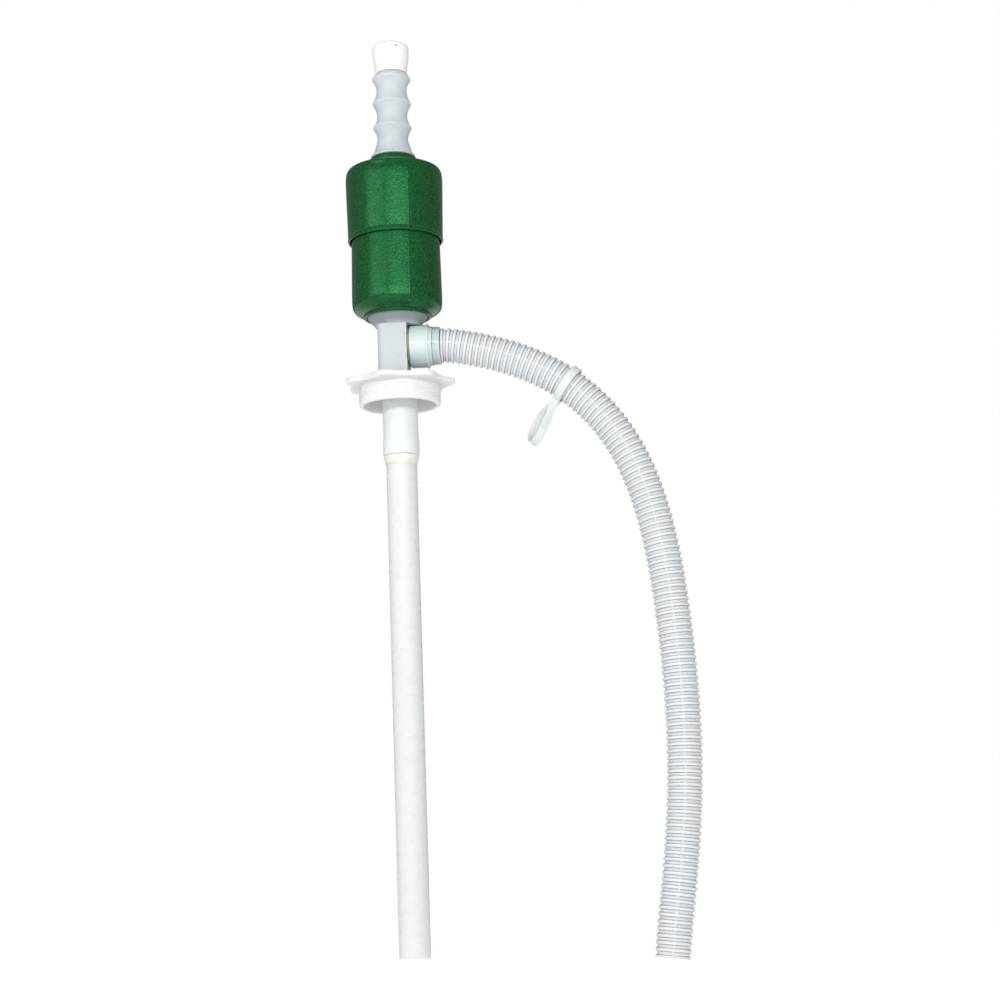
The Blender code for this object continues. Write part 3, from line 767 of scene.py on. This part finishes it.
def upper_cup(mat):
    """Collar, groove, sloping shoulder, slightly waisted skirt with a bead at its lip."""
    profile = [
        (0.0156, 0.1745, 0.0005), (0.0172, 0.1741, 0.0006), (0.0186, 0.1716, 0.0010),
        (0.0190, 0.1703, 0.0005), (0.0186, 0.1696, 0.0004), (0.0198, 0.1689, 0.0006),
        (0.0322, 0.1654, 0.0014), (0.0343, 0.1642, 0.0012), (0.0355, 0.1620, 0.0014),
        (0.0361, 0.1580, 0.0020), (0.0361, 0.1540, 0.0020), (0.0352, 0.1128, 0.0006),
        (0.0347, 0.1122, 0.0003), (0.0353, 0.1116, 0.0004), (0.0355, 0.1105, 0.0005),
        (0.0351, 0.1094, 0.0003), (UPPER_BORE_R, 0.1094), (UPPER_BORE_R, 0.1590),
        (0.0322, 0.1624), (0.0180, 0.1668), (0.0102, 0.1668), (0.0102, 0.1745),
    ]
    lid_middle = 0.1678         # height between the lid's two sides, at the collar
    lid_slope = 0.3
    collar_r = 0.0180
    line_from_r = 0.0170        # the mould line ends here, inside the collar's edge

    def shape(radius, height, angle):
        within_lid = lid_middle - lid_slope * (radius - collar_r)
        outer = (radius > UPPER_BORE_R + 0.0005) | (height > within_lid)
        return mould_line(radius, angle, outer & (radius > line_from_r)), height

    lathe("upper_cup_moulding", profile, bulb_columns(), mat, "plunger", ["upper_cup"],
          shape, step=0.004)


def lower_cup(mat):
    """Cup with a full round foot, a groove and a rolled bead round the valve body's neck."""
    profile = [
        (0.0326, LOWER_TOP), (0.0328, 0.1095, 0.0020), (0.0334, 0.0660, 0.0040),
        (0.0333, 0.0606, 0.0020), (0.0324, 0.0574, 0.0016), (0.0302, 0.0551, 0.0014),
        (0.0264, 0.0535, 0.0006), (0.0252, 0.0533, 0.0003), (0.0251, 0.0517, 0.0004),
        (0.0241, 0.0509, 0.0006), (0.0229, 0.0512, 0.0004), (0.0229, 0.0550),
        (0.0266, 0.0560), (0.0294, 0.0578), (LOWER_BORE_R, 0.0612), (LOWER_BORE_R, LOWER_TOP),
    ]
    within_foot = 0.0553        # height between the foot's two sides
    line_from_r = 0.0262        # the mould line ends here, outside the foot's groove

    def shape(radius, height, angle):
        outer = (radius > LOWER_BORE_R + 0.0006) | (height < within_foot)
        return mould_line(radius, angle, outer & (radius > line_from_r)), height

    lathe("lower_cup_moulding", profile, bulb_columns(), mat, "pump", ["lower_cup"],
          shape, step=0.004)


# ---------------------------------------------------------------- grip and vent cap

def grip_side():
    """The grip's outer side from the cap down: beaded ridges with hollows between them."""
    heights = sorted(GRIP_RIDGES + GRIP_VALLEYS, reverse=True)
    bead = 0.0005
    side = []
    for upper, lower in zip(heights, heights[1:]):
        from_ridge = upper in GRIP_RIDGES
        start_r = GRIP_RIDGE_R if from_ridge else GRIP_VALLEY_R
        end_r = GRIP_VALLEY_R if from_ridge else GRIP_RIDGE_R
        if from_ridge:
            side += [(GRIP_RIDGE_R, upper + bead, 0.0003), (GRIP_RIDGE_R, upper - bead, 0.0003)]
        for i in range(1, 9):
            t = i / 9
            fall = sin(t * pi / 2) if from_ridge else 1 - cos(t * pi / 2)
            side.append((start_r + (end_r - start_r) * fall - 0.0002,
                         upper + (lower - upper) * t))
    side.append((GRIP_VALLEY_R, GRIP_VALLEYS[0]))
    return side


def grip_handle(mat):
    """Hollow grip: its two mould halves meet a hair out of line, as a seam down the front."""
    profile = [
        (0.0096, NECK_MOUTH), (0.0096, 0.2404), (0.0119, 0.2402), (0.0134, 0.2384),
        *grip_side(), (0.0127, 0.1844, 0.0010), (0.0138, 0.1800, 0.0010),
        (0.0152, 0.1775, 0.0008), (0.0165, 0.1762, 0.0004), (0.0165, 0.1748),
        (SPIGOT_R, 0.1748), (SPIGOT_R, 0.1562), (GRIP_BORE_R, 0.1562), (GRIP_BORE_R, NECK_MOUTH),
    ]
    line_rise = 0.00012
    line_half = 0.0006
    mismatch = 0.00022
    blend_angle = 0.02

    def shape(radius, height, angle):
        middle = ramp(height, 0.1800, 0.1860) * ramp(-height, -0.2400, -0.2360)
        outer = (radius > SPIGOT_R + 0.0010) * middle
        turned = away(angle, GRIP_SEAM)
        half = np.tanh(turned / blend_angle) * np.cos(turned / 2) ** 0.5
        line = hump(turned * radius, line_half) + hump(away(turned, pi) * radius, line_half)
        return radius + line_rise * line * outer, height - mismatch * half * outer

    angles = columns_round(96, (GRIP_SEAM, 0.06), (GRIP_SEAM + pi, 0.06))
    lathe("grip_moulding", profile, angles, mat, "plunger", ["grip_handle"],
          shape, step=0.004)


def vent_cap(mat):
    """Domed screw cap with fine flutes, and a vent hole at the top of its rib."""
    profile = [
        (0.0, CAP_TOP), (0.0060, CAP_TOP - 0.0002, 0.0020), (0.0106, CAP_TOP - 0.0014, 0.0015),
        (0.0131, CAP_TOP - 0.0032, 0.0010), (CAP_R, 0.2600, 0.0010), (CAP_R, 0.2545, 0.0012),
        (0.0131, 0.2510, 0.0012), (0.0124, 0.2470, 0.0012), (0.0121, 0.2430),
        (0.0119, CAP_LOW), (0.0105, CAP_LOW), (0.0105, 0.2598), (0.0088, 0.2628),
        (0.0, 0.2630),
    ]
    wall_r = 0.0112             # between the bore and the outer side
    within_dome = 0.2632        # height between the dome's two sides
    flat_top_r = 0.0085
    flute_count = 40
    flute_depth = 0.00012
    rib_half = 0.0026
    rib_r = 0.0142

    def shape(radius, height, angle):
        turned = away(angle, VENT_ANGLE)
        outer = (radius > wall_r) | (height > within_dome)
        side = ramp(height, 0.2420, 0.2432) * ramp(-height, -0.2590, -0.2575)
        flutes = flute_depth * (0.5 - 0.5 * np.cos(flute_count * angle)) * side
        across = np.abs(radius * np.sin(turned))
        rib = ramp(-across, -rib_half - 0.0003, -rib_half + 0.0002) * (np.cos(turned) > 0)
        rib = rib * ramp(height, 0.2440, 0.2550) * ramp(-height, -0.2628, -0.2616)
        stood = np.maximum(radius, rib_r / np.maximum(np.cos(turned), 0.5))
        risen = radius - flutes + (stood - radius) * rib
        return np.where(outer & (radius > flat_top_r), risen, radius), height

    angles = columns_round(160, (VENT_ANGLE - 0.20, 0.04), (VENT_ANGLE + 0.20, 0.04))
    cap = lathe("vent_cap_moulding", profile, angles, mat, "vent_cap", ["vent_cap"],
                shape, step=0.0004)
    drill_vent(cap)


def drill_vent(cap):
    """Bore the small vent hole through the cap's wall, across its axis, widest outside."""
    inner_r = 0.0007
    outer_r = 0.0009
    reach = 0.0036
    middle = 0.0130             # from the cap's axis
    bm = bmesh.new()
    place = (Matrix.Rotation(VENT_ANGLE, 4, "Z") @ Matrix.Translation((middle, 0.0, VENT_Z))
             @ Matrix.Rotation(pi / 2, 4, "Y"))
    bmesh.ops.create_cone(bm, cap_ends=True, segments=20, radius1=inner_r, radius2=outer_r,
                          depth=reach, matrix=place)
    mesh = bpy.data.meshes.new("vent_drill")
    bm.to_mesh(mesh)
    bm.free()
    drill = bpy.data.objects.new("vent_drill", mesh)
    bpy.context.scene.collection.objects.link(drill)
    modifier = cap.modifiers.new("vent", "BOOLEAN")
    modifier.operation = "DIFFERENCE"
    modifier.object = drill
    bpy.context.view_layer.update()
    bored = bpy.data.meshes.new_from_object(
        cap.evaluated_get(bpy.context.evaluated_depsgraph_get()))
    cap.modifiers.clear()
    cap.data = bored
    bpy.data.objects.remove(drill)


# ---------------------------------------------------------------- build

make_camera()
make_world()
softbox("key", azimuth=radians(11), elevation=radians(12), width=2.3, height=0.3, power=22)
softbox("fill", azimuth=radians(-42), elevation=radians(14), width=1.8, height=0.3, power=9)
softbox("low", azimuth=radians(-8), elevation=radians(-7), width=1.6, height=0.2, power=3)
sun(azimuth=radians(-38), elevation=radians(48), strength=0.3, softness=radians(20))

# Lighter below the flange than above it; on the funnel under the green bulb, painted shade tinted
# green by the bulb.
NATURAL = plastic("natural_polythene", (0.72, 0.76, 0.765), roughness=0.42, tones=[
    (-0.053, (1.0, 0.99, 0.98)), (-0.001, (0.98, 0.98, 0.98)), (0.004, (0.72, 0.74, 0.75)),
    (0.043, (0.72, 0.74, 0.75)), (0.047, (0.32, 0.36, 0.355)), (0.062, (0.30, 0.36, 0.34)),
])
GRIP = plastic("grip_polythene", (0.54, 0.59, 0.61), roughness=0.34, subsurface=0.6,
               scatter=0.006)
TUBE = plastic("tube_polythene", (0.69, 0.705, 0.715), roughness=0.28, grain=0.015, cloud=0.01,
               gloss=0.25)
WHITE = plastic("white_polypropylene", (0.73, 0.745, 0.74), roughness=0.4, subsurface=0.6,
                scatter=0.006)
CAP = plastic("cap_polypropylene", (0.88, 0.88, 0.88), roughness=0.35, grain=0.01)
GREEN = plastic("green_polythene", (0.006, 0.060, 0.016), grain=0.7, grain_scale=800.0,
                roughness=0.22, bump=0.25, bump_scale=800.0, subsurface=0.0, gloss=0.65,
                gloss_tint=(0.14, 0.72, 0.30))
COLLAR = plastic("collar_polythene", (0.62, 0.72, 0.715), roughness=0.18, subsurface=0.5, coat=0.6)
CUFF = plastic("cuff_vinyl", (0.50, 0.61, 0.64), roughness=0.12, coat=1.0, subsurface=0.5)
# Painted shade: a mesh attribute darkens the hose's flanks and bore towards this dark grey.
HOSE = plastic("hose_polythene", (0.70, 0.72, 0.735), roughness=0.24, groove="flank_shade",
               groove_shade_colour=(0.24, 0.255, 0.275), subsurface=0.5)
STRAP = plastic("strap_polythene", (0.67, 0.70, 0.71), roughness=0.3, subsurface=0.0)
GLUE = plastic("adhesive", (0.78, 0.79, 0.73), roughness=0.35, cloud=0.08, cloud_scale=300.0,
               tint=(1.0, 1.0, 0.9))
GASKET = plastic("gasket_rubber", (0.55, 0.50, 0.28), roughness=0.6, subsurface=0.1)
SEAL = plastic("seal_rubber", (0.02, 0.02, 0.02), roughness=0.6, subsurface=0.0, grain=0.2)
STEEL = steel("pin_steel")

strap = hose_hanger(STRAP)
discharge_hose(HOSE)
make_floor()
bung_adapter(WHITE)
suction_tube(TUBE)
adhesive(GLUE)
outlet_collar(COLLAR)
hose_cuff(CUFF)
upper_cup(GREEN)
lower_cup(GREEN)
grip_handle(GRIP)
vent_cap(CAP)

KEPT = {                        # CAD nodes that stay: their material, and the record's slot
    "valve_body": (NATURAL, "natural_body"),
    "swivel_retainer": (WHITE, "white_plastic"),
    "inlet_valve_seat": (WHITE, "white_plastic"),
    "inlet_ball_cage": (WHITE, "white_plastic"),
    "inlet_ball": (WHITE, "white_plastic"),
    "outlet_valve_seat": (WHITE, "white_plastic"),
    "outlet_flap": (WHITE, "white_plastic"),
    "outlet_flap_pin": (STEEL, "pin_steel"),
    "spout_gasket": (GASKET, "gasket_rubber"),
    "cup_clamp_ring": (WHITE, "white_plastic"),
    "piston_carrier": (WHITE, "white_plastic"),
    "piston_seal": (SEAL, "seal_rubber"),
    "handle_gasket": (SEAL, "seal_rubber"),
    "handle_nut": (WHITE, "white_plastic"),
    "vent_seal": (SEAL, "seal_rubber"),
}
for node, (mat, slot_name) in KEPT.items():
    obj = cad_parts[node]
    obj.data.materials.clear()
    obj.data.materials.append(mat)

bpy.context.scene.view_settings.view_transform = "Standard"
